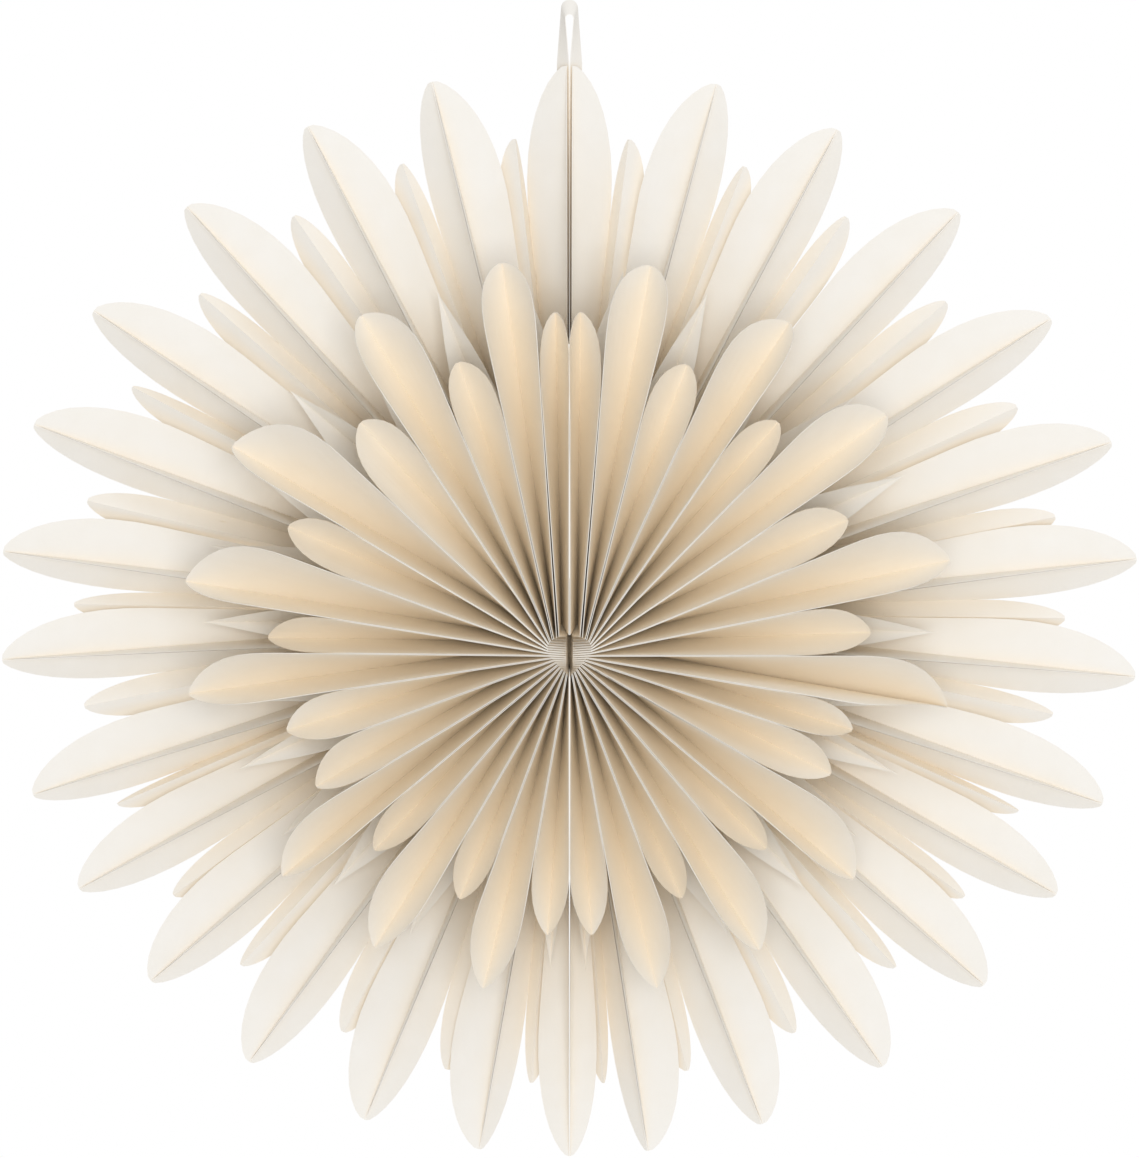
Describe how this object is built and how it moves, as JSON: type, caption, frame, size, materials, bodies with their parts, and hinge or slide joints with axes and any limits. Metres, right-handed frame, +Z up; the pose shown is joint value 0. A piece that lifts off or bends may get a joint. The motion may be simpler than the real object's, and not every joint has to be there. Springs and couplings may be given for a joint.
{
  "type": "hanging paper snowflake",
  "caption": "Large round paper star of folded leaf-shaped petals in two layers, with a small paper loop at the top to hang it by.",
  "frame": {"origin": "the inside of the top of the loop, where a hook or a thread bears", "axes": "+Z up along the seams, the star faces -Y, +X to its right as seen from the front"},
  "size_m": [0.4473, 0.0695, 0.4627],
  "materials": {
    "back_leaf_paper": "matt",
    "front_leaf_paper": "matt",
    "ribbon_paper": "matt"
  },
  "bodies": {
    "root": {"large_leaf_01": "back_leaf_paper", "large_leaf_02": "back_leaf_paper", "large_leaf_03": "back_leaf_paper", "large_leaf_04": "back_leaf_paper", "large_leaf_05": "back_leaf_paper", "large_leaf_06": "back_leaf_paper", "large_leaf_07": "back_leaf_paper", "large_leaf_08": "back_leaf_paper", "large_leaf_09": "back_leaf_paper", "large_leaf_10": "back_leaf_paper", "large_leaf_11": "back_leaf_paper", "large_leaf_12": "back_leaf_paper", "large_leaf_13": "back_leaf_paper", "large_leaf_14": "back_leaf_paper", "small_leaf_01": "front_leaf_paper", "small_leaf_02": "front_leaf_paper", "small_leaf_03": "front_leaf_paper", "small_leaf_04": "front_leaf_paper", "small_leaf_05": "front_leaf_paper", "small_leaf_06": "front_leaf_paper", "small_leaf_07": "front_leaf_paper", "small_leaf_08": "front_leaf_paper", "small_leaf_09": "front_leaf_paper", "small_leaf_10": "front_leaf_paper", "small_leaf_11": "front_leaf_paper", "small_leaf_12": "front_leaf_paper", "small_leaf_13": "front_leaf_paper", "small_leaf_14": "front_leaf_paper", "small_leaf_15": "front_leaf_paper", "small_leaf_16": "front_leaf_paper", "small_leaf_17": "front_leaf_paper", "small_leaf_18": "front_leaf_paper", "hanger_loop": "ribbon_paper"}
  },
  "joints": []
}
